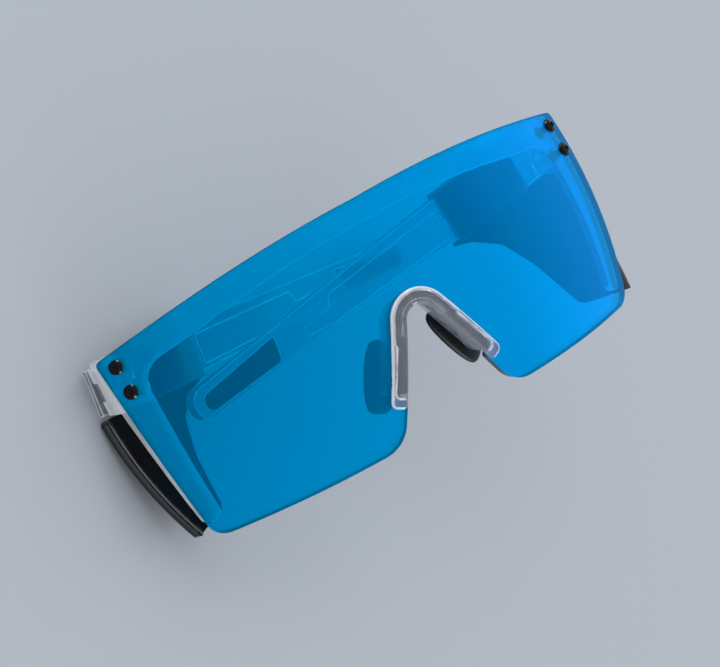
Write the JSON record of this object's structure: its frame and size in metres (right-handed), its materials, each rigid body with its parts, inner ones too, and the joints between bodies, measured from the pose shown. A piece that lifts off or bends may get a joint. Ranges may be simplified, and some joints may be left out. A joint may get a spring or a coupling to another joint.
{
  "type": "safety sunglasses",
  "caption": "Shield safety sunglasses with a one-piece mirrored lens screwed to a clear front, folding temples with rubber grips, clip-on side shields and a clip-in nosepiece.",
  "frame": {"origin": "on the flat outer face of the left temple, near the middle of its length, where the folded glasses lie on a table", "axes": "+X from the left hinge towards the left temple's tip, +Y up the brow along the hinge axes, +Z away from the table"},
  "size_m": [0.1395, 0.0624, 0.0801],
  "materials": {
    "mirror_lens": "blue mirror coating on polycarbonate",
    "clear_nylon": "clear and glossy",
    "black_plastic": "gloss black",
    "black_rubber": "matte",
    "black_steel": "black oxide",
    "brass": "turned",
    "bright_steel": "turned"
  },
  "bodies": {
    "front": {"lens": "mirror_lens", "front_frame": "clear_nylon", "nose_bridge": "clear_nylon", "nose_pad_left": "black_rubber", "nose_pad_right": "black_rubber", "lens_screw_upper_left": "black_steel", "lens_screw_lower_left": "black_steel", "lens_screw_upper_right": "black_steel", "lens_screw_lower_right": "black_steel", "insert_upper_left": "brass", "insert_lower_left": "brass", "insert_upper_right": "brass", "insert_lower_right": "brass", "hinge_screw_left": "bright_steel", "hinge_screw_right": "bright_steel", "hinge_nut_left": "bright_steel", "hinge_nut_right": "bright_steel"},
    "temple_left": {"temple_left": "clear_nylon", "temple_grip_left": "black_rubber", "side_shield_left": "black_plastic"},
    "temple_right": {"temple_right": "clear_nylon", "temple_grip_right": "black_rubber", "side_shield_right": "black_plastic"}
  },
  "joints": [
    {"name": "left_temple_fold", "type": "hinge", "parent": "front", "child": "temple_left", "pos_m": [-0.05663, 0.0065, 0.005], "axis": [0, 1, 0], "range_deg": [-18, 64.8]},
    {"name": "right_temple_fold", "type": "hinge", "parent": "front", "child": "temple_right", "pos_m": [0.06823, 0.0065, 0.06376], "axis": [0, -1, 0], "range_deg": [0, 4]}
  ]
}
